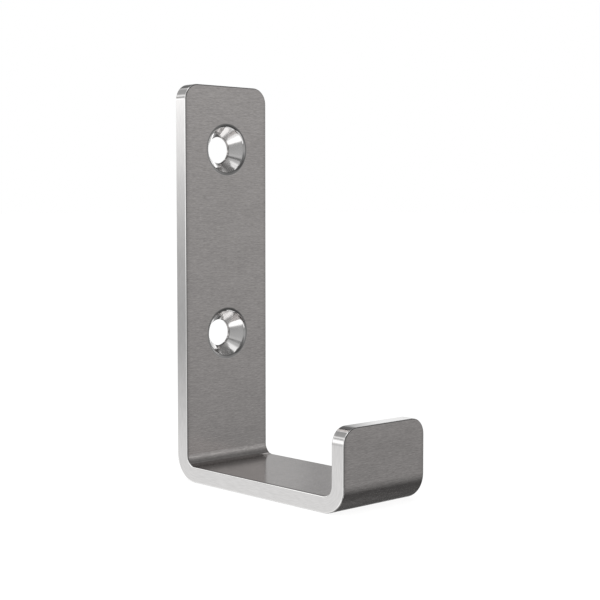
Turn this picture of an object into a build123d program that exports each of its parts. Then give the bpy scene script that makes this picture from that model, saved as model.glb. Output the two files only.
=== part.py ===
"""Hat and coat hook, folded from one length of flat stainless bar.

The bar is bent twice. It makes a tall plate that lies against the wall, a level arm that stands out from
the plate's foot, and a short lip that turns up at the front and keeps the coat's loop on the arm. Two
countersunk screws go through the plate.

Millimetres. +Z is up, +X is across the bar, and the arm points along -Y, into the room. The origin lies
on the wall face, half-way between the two screw holes.
"""

from build123d import *
import os

# Flat bar
BAR_WIDTH = 20.0
BAR_THICKNESS = 3.0

# Folded form, measured over the outside of the bar
HOOK_HEIGHT = 75.0
PROJECTION = 45.0
LIP_HEIGHT = 15.0
BEND_INNER_RADIUS = 2.0

# Rounded ends and softened edges
CORNER_RADIUS = 3.0
EDGE_RADIUS = 0.25

# Screw holes: the upper one is placed from the top of the plate, the lower one from the upper one
TOP_HOLE_DROP = 12.1
HOLE_SPACING = 35.3
HOLE_DIAMETER = 5.1
SINK_DIAMETER = 9.1
SINK_ANGLE = 76.0
SINK_RIM_RADIUS = 1.0

# Two faces that meet at less than this many degrees run smoothly into each other
SMOOTH_ANGLE = 1.0

upper_hole_z = HOLE_SPACING / 2
lower_hole_z = -HOLE_SPACING / 2
plate_top_z = upper_hole_z + TOP_HOLE_DROP
underside_z = plate_top_z - HOOK_HEIGHT
lip_top_z = underside_z + LIP_HEIGHT
bend_outer_radius = BEND_INNER_RADIUS + BAR_THICKNESS


def side_view():
    """The folded bar seen from the side: its outer line, with the bar's thickness on the inside of it."""
    with BuildSketch(Plane.YZ) as view:
        with BuildLine():
            FilletPolyline(
                (0, plate_top_z),
                (0, underside_z),
                (-PROJECTION, underside_z),
                (-PROJECTION, lip_top_z),
                radius=bend_outer_radius,
            )
            offset(amount=BAR_THICKNESS, side=Side.RIGHT, mode=Mode.ADD)
        make_face()
    return view.sketch


def folded_bar():
    """The bar at its full width, with rounded corners at both of its ends."""
    with BuildPart() as bar:
        extrude(side_view(), amount=BAR_WIDTH / 2, both=True)
        across_thickness = bar.edges().filter_by(Axis.Y).group_by(Axis.Z)
        lip_corners = across_thickness[-2]
        plate_corners = across_thickness[-1]
        fillet(lip_corners + plate_corners, CORNER_RADIUS)
    return bar.part


def is_sharp(edge, solid):
    """True where two faces meet at an angle, false where one runs smoothly into the next."""
    middle = edge @ 0.5
    normals = [face.normal_at(middle) for face in solid.faces() if edge in face.edges()]
    return normals[0].get_angle(normals[1]) > SMOOTH_ANGLE


def soften_edges(bar):
    """A small round on every sharp edge of the bar."""
    sharp = bar.edges().filter_by(lambda edge: is_sharp(edge, bar))
    return fillet(sharp, EDGE_RADIUS)


def sink_screw_holes(bar):
    """Two countersunk holes on the plate's centre line, each with a rolled rim on the room side."""
    with BuildPart() as plate:
        add(bar)
        for z in (lower_hole_z, upper_hole_z):
            with Locations(Plane(origin=(0, -BAR_THICKNESS, z), z_dir=(0, -1, 0))):
                CounterSinkHole(
                    radius=HOLE_DIAMETER / 2,
                    counter_sink_radius=SINK_DIAMETER / 2,
                    counter_sink_angle=SINK_ANGLE,
                    depth=2 * BAR_THICKNESS,
                )
        circles = plate.edges().filter_by(GeomType.CIRCLE).filter_by(lambda edge: edge.is_closed)
        rims = circles.group_by(Axis.Y)[0]
        fillet(rims, SINK_RIM_RADIUS)
    return plate.part


def coat_hook():
    """The finished hook, as one solid."""
    return sink_screw_holes(soften_edges(folded_bar()))


os.makedirs("parts", exist_ok=True)
export_step(coat_hook(), "parts/coat_hook.step")
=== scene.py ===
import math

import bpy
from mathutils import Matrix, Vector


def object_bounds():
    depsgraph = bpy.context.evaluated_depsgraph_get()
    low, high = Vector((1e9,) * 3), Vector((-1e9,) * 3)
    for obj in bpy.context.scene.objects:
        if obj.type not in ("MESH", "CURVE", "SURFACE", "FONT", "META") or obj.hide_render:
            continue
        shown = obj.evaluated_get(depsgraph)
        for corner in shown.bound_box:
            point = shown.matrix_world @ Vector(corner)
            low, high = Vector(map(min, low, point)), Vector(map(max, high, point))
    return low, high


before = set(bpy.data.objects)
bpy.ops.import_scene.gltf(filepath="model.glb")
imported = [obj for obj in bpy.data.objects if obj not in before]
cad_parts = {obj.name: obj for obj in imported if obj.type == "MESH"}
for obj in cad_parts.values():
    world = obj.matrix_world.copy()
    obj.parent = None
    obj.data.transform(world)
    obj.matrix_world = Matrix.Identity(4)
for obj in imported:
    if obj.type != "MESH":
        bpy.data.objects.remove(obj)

# The looks of a coat hook folded from flat stainless bar, in a plain studio.
# Metres, in the model's own frame: +Z up, +X across the bar, and the arm points along -Y.
# An azimuth of 0 is in front of the hook (along -Y), and 90 is to its right (along +X).

BLANK_LOW, BLANK_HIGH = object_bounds()
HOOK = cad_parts["coat_hook"]
MM = 0.001

# The bar and its screw holes, as the record and the frame give them
BEND_OUTER_RADIUS = 5.0 * MM
UNDERSIDE = BLANK_LOW.z
FRONT = BLANK_LOW.y
SIDE = BLANK_HIGH.x
HOLE_HEIGHTS = (17.65 * MM, -17.65 * MM)

# Heights between which the test for a cut edge changes, above both bends
BENDS_END = (UNDERSIDE + 9 * MM, UNDERSIDE + 9.2 * MM)

# Where the finishes of a hole end: distances from its axis, and places along Y, just inside the plate's back
BORE_REACH = 2.6 * MM
CONE_REACH = 4.4 * MM
SINK_REACH = 4.9 * MM
SHARP_CHANGE = 0.05 * MM
CONE_FADE = 0.2 * MM
BACK_SKIN = (-0.3 * MM, -0.2 * MM)

# Where a mask sets in. A band gives where it starts, is full, is full no longer and ends. The edge share is
# 0 on a broad face and 1 on a cut edge.
CUT_EDGE_SHARE = (0.35, 0.75)
# A painted highlight on the round beside a cut edge
PAINTED_HIGHLIGHT_BAND = (0.5, 0.75, 0.93, 0.995)
# Painted shade on the round beside a broad face, and in a ring round each countersink
PAINTED_SHADE_BAND = (0.01, 0.06, 0.35, 0.6)
SHADE_RING_BAND = (4.6 * MM, 4.75 * MM, 4.85 * MM, 4.98 * MM)
SHADE_RING_STRENGTH = 0.7
# Painted shade along the sides of the broad faces: the distances from the side over which it fades out, and
# the power of the fade
SIDE_SHADE_REACH = (0.1 * MM, 1.3 * MM)
SIDE_SHADE_POWER = 2.0

# Colours of the steel, with painted shade in the bores, and how much shows of the painted shade along the
# sides, the painted highlight on the rounds and the painted shade lines
STEEL_COLOUR = (0.575, 0.548, 0.537)
GROUND_COLOUR = (0.556, 0.549, 0.545)
TURNED_COLOUR = (0.755, 0.745, 0.74)
BORE_SHADE_COLOUR = (0.3, 0.29, 0.285)
SIDE_SHADE_COLOUR = (0.12, 0.115, 0.11)
PAINTED_HIGHLIGHT_COLOUR = (0.9, 0.89, 0.88)
PAINTED_SHADE_COLOUR = (0.03, 0.03, 0.03)
SIDE_SHADE_STRENGTH = 0.2
PAINTED_HIGHLIGHT_STRENGTH = 0.6
PAINTED_SHADE_STRENGTH = 0.55
BRUSHED_SPREAD = 0.25
GROUND_SPREAD = 0.055

# Sizes of the tool marks, along them and across them
SHORT_STREAK = (0.85 * MM, 0.12 * MM)
LONG_STREAK = (2.2 * MM, 0.16 * MM)
CLOUD = (9.0 * MM, 4.0 * MM)
GRINDING_MARK = (1.6 * MM, 0.16 * MM)
TURNING_MARK = (1.0 * MM, 0.12 * MM)
LONG_STREAK_SHARE = 0.4
CLOUD_SHARE = 0.12

# The noise between these values gives the whole change from dark to light
NOISE_LOW = 0.2
NOISE_HIGH = 0.8

# Roughness. A pair gives the least, and how much more the tool marks add. In a countersink the rim and the
# cone have their own, and the turning adds as much to both.
BRUSHED_ROUGHNESS = (0.09, 0.10)
GROUND_ROUGHNESS = (0.035, 0.05)
RIM_ROUGHNESS = 0.06
CONE_ROUGHNESS = 0.12
TURNING_ROUGHNESS = 0.04
ROUND_ROUGHNESS = 0.12
ROUND_STRENGTH = 0.8

# Relief of the brushing, and the shares of it that the other marks have
BRUSHING_HEIGHT = 0.012 * MM
GRINDING_RELIEF = 0.12
TURNING_RELIEF = 0.0015

# Camera, with its turns in degrees
LENS_MM = 81.269
SENSOR_MM = 36.0
CAMERA_PLACE = (-0.16782, -0.20352, 0.00673)
CAMERA_TILT_DOWN = 3.9348
CAMERA_TURN = -43.005
CLIP_START = 0.01
CLIP_END = 100.0

# Lamp
LAMP_AZIMUTH = -70
LAMP_ELEVATION = 55
LAMP_DISTANCE = 1.6
LAMP_SIZE = 1.2
LAMP_WATTS = 6.0

# World and floor
WHITE = (1.0, 1.0, 1.0, 1.0)
WORLD_LIGHT = 0.75
FLOOR_HALF_WIDTH = 8.0
FLOOR_PAINT = (0.85, 0.85, 0.85, 1.0)
FLOOR_GLOW = 1.16
FLOOR_GLOW_SHARE = 0.75

# Cards: most of them hang far from the hook, and those behind it at its left hang near it. Each layer hangs
# nearer than the last, by a share of that distance. A tone of 1 has the card level as its strength.
FAR = 5.0
NEAR = 0.4
NEAR_MIDDLE = Vector((0.0, -20.0 * MM, -8.0 * MM))
LAYER_STEP = 0.03
CARD_LEVEL = 1.09
CARD_COLUMNS = 48
CARD_ROWS = 24

# Widths of a rim that doesn't fade, in degrees, at the sides and at the ends
UNFADED = (0.01, 0.01)

# A deep card shows to rays that metal has sent on more often than this
DEEP_BOUNCES = 1.5


def link_object(name, data):
    """A new object in the scene, that holds the given data."""
    made = bpy.data.objects.new(name, data)
    bpy.context.scene.collection.objects.link(made)
    return made


def opaque(colour):
    """The colour with an alpha of 1."""
    return tuple(colour) + (1.0,)


class Nodes:
    """Short calls that add nodes to one node tree and link them."""

    def __init__(self, tree):
        self.tree = tree
        self.tree.nodes.clear()

    def add(self, kind, inputs=None, **settings):
        """A node with these settings, whose sockets are fed with these inputs."""
        node = self.tree.nodes.new(kind)
        for name, value in settings.items():
            setattr(node, name, value)
        for name, value in (inputs or {}).items():
            self.feed(node.inputs[name], value)
        return node

    def feed(self, socket, value):
        """Links an output to the socket, or sets the socket to a plain value."""
        if isinstance(value, bpy.types.NodeSocket):
            self.tree.links.new(value, socket)
        else:
            socket.default_value = value

    def math(self, operation, a, b=0.0, c=0.0, clamp=False):
        node = self.add("ShaderNodeMath", {0: a, 1: b, 2: c}, operation=operation, use_clamp=clamp)
        return node.outputs[0]

    def vector(self, operation, a, b=(0.0, 0.0, 0.0)):
        node = self.add("ShaderNodeVectorMath", {0: a, 1: b}, operation=operation)
        return node.outputs["Value" if operation == "LENGTH" else "Vector"]

    def ramp(self, value, low, high, to_low=0.0, to_high=1.0):
        """to_low below low, to_high above high, and a smooth change between them."""
        node = self.add(
            "ShaderNodeMapRange",
            {"Value": value, "From Min": low, "From Max": high, "To Min": to_low, "To Max": to_high},
            interpolation_type="SMOOTHSTEP",
        )
        return node.outputs["Result"]

    def band(self, value, start, full, last, end):
        """1 from full to last, 0 below start and above end, and smooth changes between them."""
        rise = self.ramp(value, start, full)
        fall = self.ramp(value, last, end, 1.0, 0.0)
        return self.math("MULTIPLY", rise, fall)

    def mix(self, share, a, b):
        """a where the share is 0 and b where it is 1. A Mix node has its floats in sockets 2 and 3."""
        node = self.add("ShaderNodeMix", data_type="FLOAT")
        self.feed(node.inputs[0], share)
        self.feed(node.inputs[2], a)
        self.feed(node.inputs[3], b)
        return node.outputs[0]

    def mix_colour(self, share, a, b):
        """The same for colours, which a Mix node has in sockets 6 and 7."""
        node = self.add("ShaderNodeMix", data_type="RGBA")
        self.feed(node.inputs[0], share)
        self.feed(node.inputs[6], a)
        self.feed(node.inputs[7], b)
        return node.outputs[2]

    def split(self, vector):
        return self.add("ShaderNodeSeparateXYZ", {0: vector}).outputs

    def join(self, x, y, z):
        return self.add("ShaderNodeCombineXYZ", {0: x, 1: y, 2: z}).outputs[0]

    def noise(self, vector, detail=1.0):
        """Noise with a mean of about 0.5, whose features are about one unit of the vector wide."""
        inputs = {"Vector": vector, "Scale": 1.0, "Detail": detail, "Roughness": 0.5}
        return self.add("ShaderNodeTexNoise", inputs).outputs["Fac"]


def edge_share(nodes, place):
    """0 on a broad face, 1 on a cut edge, and between them on the round that joins the two."""
    height = nodes.split(place)[2]
    normal = nodes.add("ShaderNodeNewGeometry").outputs["Normal"]
    nx, ny, _ = nodes.split(normal)

    # Above the bends the broad faces look along Y, and on the arm they look up, down or along the bends
    above_bends = nodes.ramp(height, *BENDS_END)
    off_y = nodes.math("SUBTRACT", 1.0, nodes.math("MULTIPLY", ny, ny))
    on_x = nodes.math("MULTIPLY", nx, nx)
    return nodes.mix(above_bends, on_x, off_y)


def hole_reach(nodes, place):
    """How far a point lies from the axis of the nearer screw hole."""
    x, _, z = nodes.split(place)
    distances = []
    for height in HOLE_HEIGHTS:
        from_axis = nodes.join(x, 0.0, nodes.math("SUBTRACT", z, height))
        distances.append(nodes.vector("LENGTH", from_axis))
    return nodes.math("MINIMUM", *distances)


def depth_in_bar(nodes, place):
    """How far a point lies in from the folded bar's outer line, on the side faces."""
    _, y, z = nodes.split(place)
    half_depth = -FRONT / 2
    from_middle = nodes.math("ABSOLUTE", nodes.math("ADD", y, half_depth))
    out_y = nodes.math("SUBTRACT", from_middle, half_depth - BEND_OUTER_RADIUS)
    out_z = nodes.math("SUBTRACT", UNDERSIDE + BEND_OUTER_RADIUS, z)
    corner = nodes.join(nodes.math("MAXIMUM", out_y, 0.0), nodes.math("MAXIMUM", out_z, 0.0), 0.0)
    return nodes.math("SUBTRACT", BEND_OUTER_RADIUS, nodes.vector("LENGTH", corner))


def finish_masks(nodes, place, reach):
    """Where the steel has each of its finishes, and its painted highlight and painted shade, from 0 to 1."""
    x, y, _ = nodes.split(place)
    edge = edge_share(nodes, place)

    # The countersinks, without the plate's back
    near_hole = nodes.ramp(reach, SINK_REACH, SINK_REACH + SHARP_CHANGE, 1.0, 0.0)
    off_back = nodes.ramp(y, *BACK_SKIN, 1.0, 0.0)
    sink = nodes.math("MULTIPLY", near_hole, off_back)
    off_sink = nodes.math("SUBTRACT", 1.0, sink)
    cone = nodes.math("MULTIPLY", sink, nodes.ramp(reach, CONE_REACH - CONE_FADE, CONE_REACH, 1.0, 0.0))
    # The bore of each hole is painted darker: painted shade in the hole
    bore_shade = nodes.ramp(reach, BORE_REACH, BORE_REACH + SHARP_CHANGE, 1.0, 0.0)

    # The cut edges and their rounds. Half-way round, four times the product of the two shares is 1.
    cut = nodes.ramp(edge, *CUT_EDGE_SHARE)
    flat = nodes.math("SUBTRACT", 1.0, edge)
    rounding = nodes.math("MULTIPLY", nodes.math("MULTIPLY", edge, flat), 4.0, clamp=True)

    # Beside a cut edge the round has a painted highlight. Beside a broad face it has a line of painted shade,
    # and so does a ring round each countersink.
    painted_highlight = nodes.math("MULTIPLY", nodes.band(edge, *PAINTED_HIGHLIGHT_BAND), off_sink)
    painted_shade_round = nodes.math("MULTIPLY", nodes.band(edge, *PAINTED_SHADE_BAND), off_sink)
    shade_ring = nodes.math("MULTIPLY", nodes.band(reach, *SHADE_RING_BAND), off_back)
    painted_shade = nodes.math("MAXIMUM", painted_shade_round, nodes.math("MULTIPLY", shade_ring, SHADE_RING_STRENGTH))

    # Along the sides of the broad faces the steel is a little darker: painted shade
    from_side = nodes.math("SUBTRACT", SIDE, nodes.math("ABSOLUTE", x))
    side_shade = nodes.math("POWER", nodes.ramp(from_side, *SIDE_SHADE_REACH, 1.0, 0.0), SIDE_SHADE_POWER)

    return {
        "cut": cut,
        "rounding": rounding,
        "sink": sink,
        "cone": cone,
        "bore_shade": bore_shade,
        "painted_highlight": painted_highlight,
        "painted_shade": painted_shade,
        "side_shade": side_shade,
    }


def streaks(nodes, place, along, across):
    """Noise drawn out along X, for brushing across the bar."""
    return nodes.noise(nodes.vector("MULTIPLY", place, (1 / along, 1 / across, 1 / across)))


def tool_marks(nodes, place, reach):
    """The marks of brushing, grinding and turning, each as noise from 0 to 1."""
    _, y, z = nodes.split(place)
    short = streaks(nodes, place, *SHORT_STREAK)
    long = streaks(nodes, place, *LONG_STREAK)
    clouds = streaks(nodes, place, *CLOUD)

    # Grinding runs along the bar, and turning runs round the holes
    along, across = GRINDING_MARK
    ground_place = nodes.join(
        nodes.math("DIVIDE", depth_in_bar(nodes, place), across),
        nodes.math("DIVIDE", y, along),
        nodes.math("DIVIDE", z, along),
    )
    along, across = TURNING_MARK
    turned_place = nodes.join(
        nodes.math("DIVIDE", reach, across),
        nodes.math("DIVIDE", y, along),
        0.0,
    )
    return {
        "brushing": nodes.mix(LONG_STREAK_SHARE, short, long),
        "clouds": clouds,
        "grinding": nodes.noise(ground_place),
        "turning": nodes.noise(turned_place, detail=0.0),
    }


def tinted(nodes, shade, colour, spread):
    """The colour, darker by the spread's share where the shade is low, and lighter by it where it is high."""
    darker = [(1 - spread) * c for c in colour]
    lighter = [(1 + spread) * c for c in colour]
    return nodes.mix_colour(nodes.ramp(shade, NOISE_LOW, NOISE_HIGH), opaque(darker), opaque(lighter))


def covered(nodes, below, mask, colour, strength):
    """The colour below, with part of another one over it where the mask says."""
    return nodes.mix_colour(nodes.math("MULTIPLY", mask, strength), below, opaque(colour))


def steel_colour(nodes, masks, marks):
    """Brushed, ground and turned steel, with painted shade along its sides, in lines and in its bores, and
    painted highlight lines.
    """
    shade = nodes.mix(CLOUD_SHARE, marks["brushing"], marks["clouds"])
    brushed = tinted(nodes, shade, STEEL_COLOUR, BRUSHED_SPREAD)
    brushed = covered(nodes, brushed, masks["side_shade"], SIDE_SHADE_COLOUR, SIDE_SHADE_STRENGTH)
    ground = tinted(nodes, marks["grinding"], GROUND_COLOUR, GROUND_SPREAD)
    smooth = nodes.math("MAXIMUM", nodes.math("MAXIMUM", masks["cut"], masks["rounding"]), masks["sink"])
    colour = nodes.mix_colour(smooth, brushed, ground)
    colour = covered(nodes, colour, masks["painted_highlight"], PAINTED_HIGHLIGHT_COLOUR, PAINTED_HIGHLIGHT_STRENGTH)
    colour = covered(nodes, colour, masks["painted_shade"], PAINTED_SHADE_COLOUR, PAINTED_SHADE_STRENGTH)
    colour = nodes.mix_colour(masks["cone"], colour, opaque(TURNED_COLOUR))
    return nodes.mix_colour(masks["bore_shade"], colour, opaque(BORE_SHADE_COLOUR))


def steel_roughness(nodes, masks, marks):
    """Dull where brushed, and nearly a mirror on the cut edges and in the countersinks."""
    least, more = BRUSHED_ROUGHNESS
    brushed = nodes.math("MULTIPLY_ADD", marks["brushing"], more, least)
    least, more = GROUND_ROUGHNESS
    ground = nodes.math("MULTIPLY_ADD", marks["grinding"], more, least)
    least = nodes.mix(masks["cone"], RIM_ROUGHNESS, CONE_ROUGHNESS)
    turned = nodes.math("MULTIPLY_ADD", marks["turning"], TURNING_ROUGHNESS, least)
    roughness = nodes.mix(masks["cut"], brushed, ground)
    roughness = nodes.mix(masks["sink"], roughness, turned)
    strength = nodes.math("MULTIPLY_ADD", masks["sink"], -ROUND_STRENGTH, ROUND_STRENGTH)
    return nodes.mix(nodes.math("MULTIPLY", masks["rounding"], strength), roughness, ROUND_ROUGHNESS)


def steel_relief(nodes, masks, marks):
    """The normal that the tool marks give."""
    ground = nodes.math("MULTIPLY", marks["grinding"], GRINDING_RELIEF)
    turned = nodes.math("MULTIPLY", marks["turning"], TURNING_RELIEF)
    height = nodes.mix(masks["cut"], marks["brushing"], ground)
    height = nodes.mix(masks["sink"], height, turned)
    inputs = {"Height": height, "Strength": 1.0, "Distance": BRUSHING_HEIGHT}
    return nodes.add("ShaderNodeBump", inputs).outputs[0]


def brushed_steel():
    """Steel brushed across its broad faces, ground on its cut edges and turned in its countersinks."""
    material = bpy.data.materials.new("brushed_stainless")
    material.use_nodes = True
    nodes = Nodes(material.node_tree)
    place = nodes.add("ShaderNodeTexCoord").outputs["Object"]
    reach = hole_reach(nodes, place)
    masks = finish_masks(nodes, place, reach)
    marks = tool_marks(nodes, place, reach)
    shader = nodes.add("ShaderNodeBsdfPrincipled", {
        "Base Color": steel_colour(nodes, masks, marks),
        "Metallic": 1.0,
        "Roughness": steel_roughness(nodes, masks, marks),
        "Normal": steel_relief(nodes, masks, marks),
    })
    nodes.add("ShaderNodeOutputMaterial", {"Surface": shader.outputs[0]})
    return material


def seen_directly(nodes):
    """1 for rays from the camera and for those that metal or glass sends on, and 0 for the others."""
    path = nodes.add("ShaderNodeLightPath").outputs
    mirrored = nodes.math("MAXIMUM", path["Is Glossy Ray"], path["Is Transmission Ray"])
    return nodes.math("MAXIMUM", path["Is Camera Ray"], mirrored)


def light_world():
    """White to the eye and in the metal, and a plain even light on every surface."""
    world = bpy.data.worlds.new("studio")
    bpy.context.scene.world = world
    world.use_nodes = True
    nodes = Nodes(world.node_tree)
    lit = nodes.add("ShaderNodeBackground", {"Color": WHITE, "Strength": WORLD_LIGHT})
    white = nodes.add("ShaderNodeBackground", {"Color": WHITE, "Strength": 1.0})
    both = nodes.add("ShaderNodeMixShader", {0: seen_directly(nodes), 1: lit.outputs[0], 2: white.outputs[0]})
    nodes.add("ShaderNodeOutputWorld", {"Surface": both.outputs[0]})


def floor_material():
    """Pale paint that glows white to the eye, so that only the hook's shadow shows on it."""
    material = bpy.data.materials.new("floor_white")
    material.use_nodes = True
    nodes = Nodes(material.node_tree)
    paint = nodes.add("ShaderNodeBsdfDiffuse", {"Color": FLOOR_PAINT})
    glow = nodes.add("ShaderNodeEmission", {"Color": WHITE, "Strength": FLOOR_GLOW})
    share = nodes.math("MULTIPLY", seen_directly(nodes), FLOOR_GLOW_SHARE)
    both = nodes.add("ShaderNodeMixShader", {0: share, 1: paint.outputs[0], 2: glow.outputs[0]})
    nodes.add("ShaderNodeOutputMaterial", {"Surface": both.outputs[0]})
    return material


def lay_floor():
    """A pale floor under the arm, which the steel doesn't mirror, so it sees the cards below the horizon."""
    half = FLOOR_HALF_WIDTH
    mesh = bpy.data.meshes.new("floor")
    corners = [
        (-half, -half, UNDERSIDE),
        (half, -half, UNDERSIDE),
        (half, half, UNDERSIDE),
        (-half, half, UNDERSIDE),
    ]
    mesh.from_pydata(corners, [], [(0, 1, 2, 3)])
    floor = link_object("floor", mesh)
    mesh.materials.append(floor_material())
    floor.visible_glossy = False


def direction(azimuth, elevation):
    """The unit vector that points from the hook that way, in degrees."""
    a = math.radians(azimuth)
    e = math.radians(elevation)
    return Vector((math.sin(a) * math.cos(e), -math.cos(a) * math.cos(e), math.sin(e)))


def card_material(name, tones, soft_side, soft_end, deep):
    """Light that changes from the card's foot to its head, and fades out towards its rim.

    tones are pairs of a share of the card's height and a strength. A deep card shows only in second
    reflections and later ones.
    """
    material = bpy.data.materials.new(name)
    material.use_nodes = True
    material.cycles.emission_sampling = "NONE"
    nodes = Nodes(material.node_tree)
    u, v, _ = nodes.split(nodes.add("ShaderNodeUVMap").outputs[0])
    rise = nodes.add("ShaderNodeValToRGB", {"Fac": v})
    stops = rise.color_ramp.elements
    for share, strength in tones[1:-1]:
        stops.new(share)
    for stop, (share, strength) in zip(stops, tones):
        stop.position = share
        stop.color = (strength, strength, strength, 1.0)
    glow = nodes.add("ShaderNodeEmission", {"Color": rise.outputs["Color"], "Strength": CARD_LEVEL})
    clear = nodes.add("ShaderNodeBsdfTransparent")
    from_side = nodes.math("MINIMUM", u, nodes.math("SUBTRACT", 1.0, u))
    from_end = nodes.math("MINIMUM", v, nodes.math("SUBTRACT", 1.0, v))
    solid = nodes.math("MULTIPLY", nodes.ramp(from_side, 0.0, soft_side), nodes.ramp(from_end, 0.0, soft_end))
    if deep:
        bounces = nodes.add("ShaderNodeLightPath").outputs["Glossy Depth"]
        solid = nodes.math("MULTIPLY", solid, nodes.math("GREATER_THAN", bounces, DEEP_BOUNCES))
    both = nodes.add("ShaderNodeMixShader", {0: solid, 1: clear.outputs[0], 2: glow.outputs[0]})
    nodes.add("ShaderNodeOutputMaterial", {"Surface": both.outputs[0]})
    return material


def card_mesh(name, azimuths, foot, head, head_azimuths, slant, distance, middle):
    """A patch of a ball round the hook, with UVs that run across it and from its foot to its head."""
    points = []
    places = []
    for r in range(CARD_ROWS + 1):
        v = r / CARD_ROWS
        first = azimuths[0] + (head_azimuths[0] - azimuths[0]) * v
        last = azimuths[1] + (head_azimuths[1] - azimuths[1]) * v
        for c in range(CARD_COLUMNS + 1):
            u = c / CARD_COLUMNS
            elevation = foot + (head - foot) * v + slant * u
            points.append(middle + direction(first + (last - first) * u, elevation) * distance)
            places.append((u, v))
    faces = []
    for r in range(CARD_ROWS):
        for c in range(CARD_COLUMNS):
            corner = r * (CARD_COLUMNS + 1) + c
            above = corner + CARD_COLUMNS + 1
            faces.append((corner, corner + 1, above + 1, above))
    mesh = bpy.data.meshes.new(name)
    mesh.from_pydata(points, [], faces)
    uv_layer = mesh.uv_layers.new(name="UVMap")
    for loop in mesh.loops:
        uv_layer.data[loop.index].uv = places[loop.vertex_index]
    return mesh


def studio_card(
    name,
    azimuths,
    tones,
    head_azimuths=None,
    slant=0.0,
    soft=(6.0, 2.0),
    layer=0,
    near=False,
    deep=False,
):
    """A curved card round the hook, which only the steel sees. It lights nothing and casts no shadow.

    azimuths are those of its sides, and head_azimuths are those at its head where they differ. tones are
    pairs of an elevation and a strength, from the card's foot to its head. slant is how much higher its
    second side is than its first. soft is the width of the faded rim in degrees, at the sides and at the
    ends. A higher layer hangs in front of a lower one. A near card hangs close to the hook, so that each
    part of the hook mirrors another part of it. A deep card shows only in second reflections.
    """
    foot, head = tones[0][0], tones[-1][0]
    wide, tall = azimuths[1] - azimuths[0], head - foot
    distance = (NEAR if near else FAR) * (1.0 - LAYER_STEP * layer)
    middle = NEAR_MIDDLE if near else Vector((0.0, 0.0, 0.0))
    mesh = card_mesh(name, azimuths, foot, head, head_azimuths or azimuths, slant, distance, middle)
    shares = [((elevation - foot) / tall, strength) for elevation, strength in tones]
    mesh.materials.append(card_material(name, shares, soft[0] / wide, soft[1] / tall, deep))
    card = link_object(name, mesh)
    card.visible_camera = False
    card.visible_diffuse = False
    card.visible_shadow = False


def plain(foot, head, strength):
    """The tones of a card that is equally bright from its foot to its head."""
    return ((foot, strength), (head, strength))


def hang_room():
    """A room all round, with a pale floor, grey walls and a darker ceiling."""
    room = ((-90, 0.95), (-16, 0.95), (-10, 0.6), (40, 0.6), (47, 0.3), (90, 0.3))
    studio_card("room", (-180, 180), room, soft=UNFADED)


def hang_left_and_front():
    """Grey and dark walls at the left and in front."""
    wall = (
        (-34, 0.44), (-22, 0.395), (-8, 0.415), (4, 0.44), (20, 0.455),
        (26, 0.51), (33, 0.54), (38, 0.37), (52, 0.37),
    )
    studio_card("wall_left", (-74, -28), wall, soft=(3, 3), layer=1)
    corner = ((-30, 0.22), (0, 0.235), (10, 0.365), (24, 0.365))
    studio_card("corner_left", (-72, -66), corner, soft=(1, 3), layer=5)
    studio_card("shelf_left", (-70, -57), plain(36, 50, 0.12), soft=(2, 3), layer=5)
    front = (
        (-22, 0.45), (-12, 0.4), (-6, 0.5), (4, 0.5), (12, 0.36),
        (20, 0.18), (28, 0.12), (54, 0.12), (62, 0.4),
    )
    studio_card("front", (-46, 12), front, soft=(5, 3), layer=2)
    front = ((18, 0.3), (30, 0.24), (46, 0.27), (52, 0.51), (60, 0.58))
    studio_card("front_left", (-38, -16), front, soft=(5, 3), layer=5)
    front = ((-22, 0.2), (-10, 0.33), (6, 0.38), (14, 0.2), (26, 0.13), (60, 0.1))
    studio_card("front_right", (5, 33), front, soft=(5, 3), layer=3)


def hang_right_and_behind():
    """The walls at the right and behind, with the floor below them. The plate mirrors wall_right."""
    dark = ((-30, 0.08), (-14, 0.05), (30, 0.04), (60, 0.2))
    studio_card("right_dark", (88, 116), dark, soft=(4, 3), layer=2)
    # floor_right is the floor as the steel mirrors it. It is darkest from -48 to -26 degrees of elevation, a
    # painted shadow of the hook on the floor.
    low = ((-56, 0.3), (-48, 0.1), (-32, 0.086), (-26, 0.175), (-22, 0.22), (-16, 0.3), (-10, 0.35))
    studio_card("floor_right", (8, 150), low, soft=(6, 2), layer=4)
    below = ((-84, 0.5), (-70, 0.7), (-60, 0.9), (-48, 0.9))
    studio_card("floor_below", (42, 130), below, soft=(14, 4), layer=5)
    wall = (
        (-16, 0.31), (-12, 0.31), (-8, 0.37), (-2, 0.42), (5, 0.445),
        (11, 0.57), (19, 0.45), (33, 0.28), (48, 0.17), (90, 0.15),
    )
    studio_card("wall_right", (18, 90), wall, soft=(6, 1), layer=5)
    behind = ((-8, 0.455), (18, 0.455), (24, 0.2), (60, 0.2))
    studio_card("wall_behind", (128, 172), behind, soft=(3, 2), layer=2)
    strip = ((38, 0.95), (44, 1.75), (49, 1.75))
    studio_card("strip_behind", (171, 189), strip, soft=(3, 2), layer=3)


def hang_front_softboxes():
    """Bright cards in front of the hook and at its left, low and high."""
    studio_card("front_floor", (-24, 14), plain(-50, -18, 0.85), soft=(10, 4), layer=3)
    studio_card("left_low", (-100, -14), plain(-75, -47, 1.4), slant=25, soft=(6, 3), layer=4)
    studio_card("left_near", (-40, -14), plain(-48, -15, 1.5), soft=(5, 3), layer=5)
    high = ((44, 0.35), (50, 0.55), (58, 0.5), (62, 0.75), (66, 1.05), (72, 0.95), (80, 0.35))
    studio_card("left_high", (-66, -22), high, soft=(7, 4), layer=4)
    studio_card("high_front", (-40, 22), plain(62, 84, 1.05), soft=(6, 4), layer=5)
    studio_card("front_deep", (-5, 19), plain(40, 54, 1.9), soft=(5, 3), layer=6, deep=True)
    studio_card("left_top", (-165, -75), plain(50, 76, 1.8), soft=(8, 3), layer=5)


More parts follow.
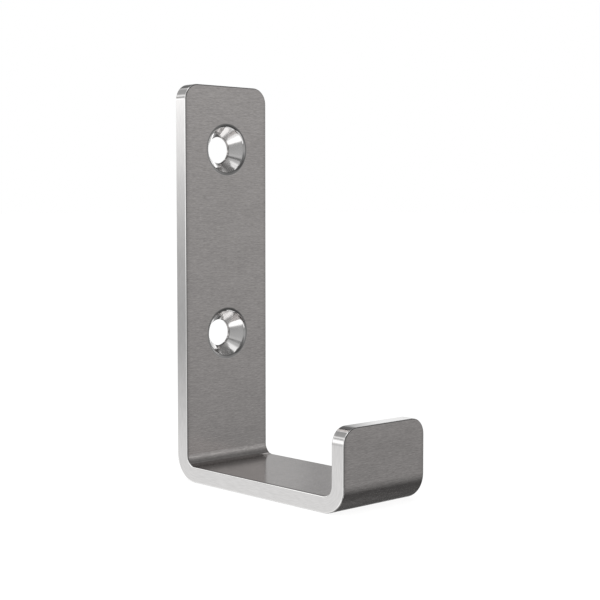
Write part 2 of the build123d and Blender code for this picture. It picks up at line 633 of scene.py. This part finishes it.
def hang_back_softboxes():
    """Brighter cards behind the hook at its right, with a dark strip beside them, and one at its left."""
    back = plain(-32, 0, 1.3)
    studio_card("back_right", (106, 130), back, head_azimuths=(120, 138), soft=(3, 3), layer=4)
    studio_card("behind_right", (118, 133.4), plain(-6, 26, 0.6), soft=(1.0, 3), layer=5)
    studio_card("behind_high", (110, 130), plain(13, 26, 1.35), soft=(2, 2), layer=6)
    studio_card("behind_bright", (116, 134.95), plain(5.5, 10.4, 1.03), soft=(1.9, 0.8), layer=6)
    studio_card("strip_right", (134.9, 136.6), plain(-6, 22, 0.34), soft=(0.3, 3), layer=7)
    side = ((-40, 1.0), (-12, 1.3), (1, 1.5), (4, 2.2), (12, 2.2), (16, 1.2), (60, 1.2))
    studio_card("side_left", (-128, -96), side, soft=(4, 4), layer=4)


def hang_back_left():
    """What the left cut edges mirror: a floor that darkens upwards, and a bright box with a dark band.

    The lip's edge mirrors lip_left, which hangs in front of back_left.
    """
    low = (
        (-40, 1.08), (-17, 1.08), (-14.2, 1.03), (-10.8, 0.8),
        (-7.5, 0.64), (-5, 0.6), (-3.4, 0.645), (-1.5, 0.645),
    )
    high = (
        (0.9, 0.77), (4.2, 0.965), (5.9, 1.155), (8.9, 1.38),
        (11, 1.66), (15.6, 1.82), (19.0, 0.52), (20.6, 0.52),
    )
    top = ((23, 1.25), (26, 1.25), (28.6, 0.92), (31, 0.54), (35, 0.52), (40, 0.5), (60, 0.4))
    studio_card("back_left", (-178, -112), low + high + top, soft=(8, 3), layer=5, near=True)
    low = (
        (-40, 1.08), (-17, 1.08), (-14, 1.0), (-10, 0.94),
        (-7, 0.85), (-5, 0.85), (-3, 1.1), (-1, 1.55),
    )
    high = (
        (2, 1.8), (9, 1.8), (12, 1.5), (14, 1.15),
        (15.5, 0.68), (17.5, 0.68), (20, 1.1), (26, 1.85),
    )
    top = ((29, 1.3), (32, 0.9), (36, 0.85), (42, 0.82), (60, 0.6))
    studio_card("lip_left", (-136, -110), low + high + top, soft=(3, 3), layer=6, near=True)


def hang_cards():
    """All the cards. Together they are the studio as the steel mirrors it."""
    hang_room()
    hang_left_and_front()
    hang_right_and_behind()
    hang_front_softboxes()
    hang_back_softboxes()
    hang_back_left()


def light_studio():
    """One large soft lamp, high at the camera's left."""
    data = bpy.data.lights.new("key_light", "AREA")
    data.shape = "DISK"
    data.size = LAMP_SIZE
    data.energy = LAMP_WATTS
    lamp = link_object("key_light", data)
    lamp.location = direction(LAMP_AZIMUTH, LAMP_ELEVATION) * LAMP_DISTANCE
    lamp.rotation_euler = (-lamp.location).to_track_quat("-Z", "Y").to_euler()
    lamp.visible_glossy = False
    lamp.visible_camera = False


def place_camera():
    """The camera, at the photo's angle."""
    data = bpy.data.cameras.new("camera")
    data.lens = LENS_MM
    data.sensor_width = SENSOR_MM
    data.clip_start = CLIP_START
    data.clip_end = CLIP_END
    camera = link_object("camera", data)
    camera.location = CAMERA_PLACE
    camera.rotation_euler = (math.radians(90 - CAMERA_TILT_DOWN), 0.0, math.radians(CAMERA_TURN))
    bpy.context.scene.camera = camera


HOOK.material_slots[0].material = brushed_steel()
light_world()
lay_floor()
hang_cards()
light_studio()
place_camera()
bpy.context.scene.view_settings.view_transform = "Standard"
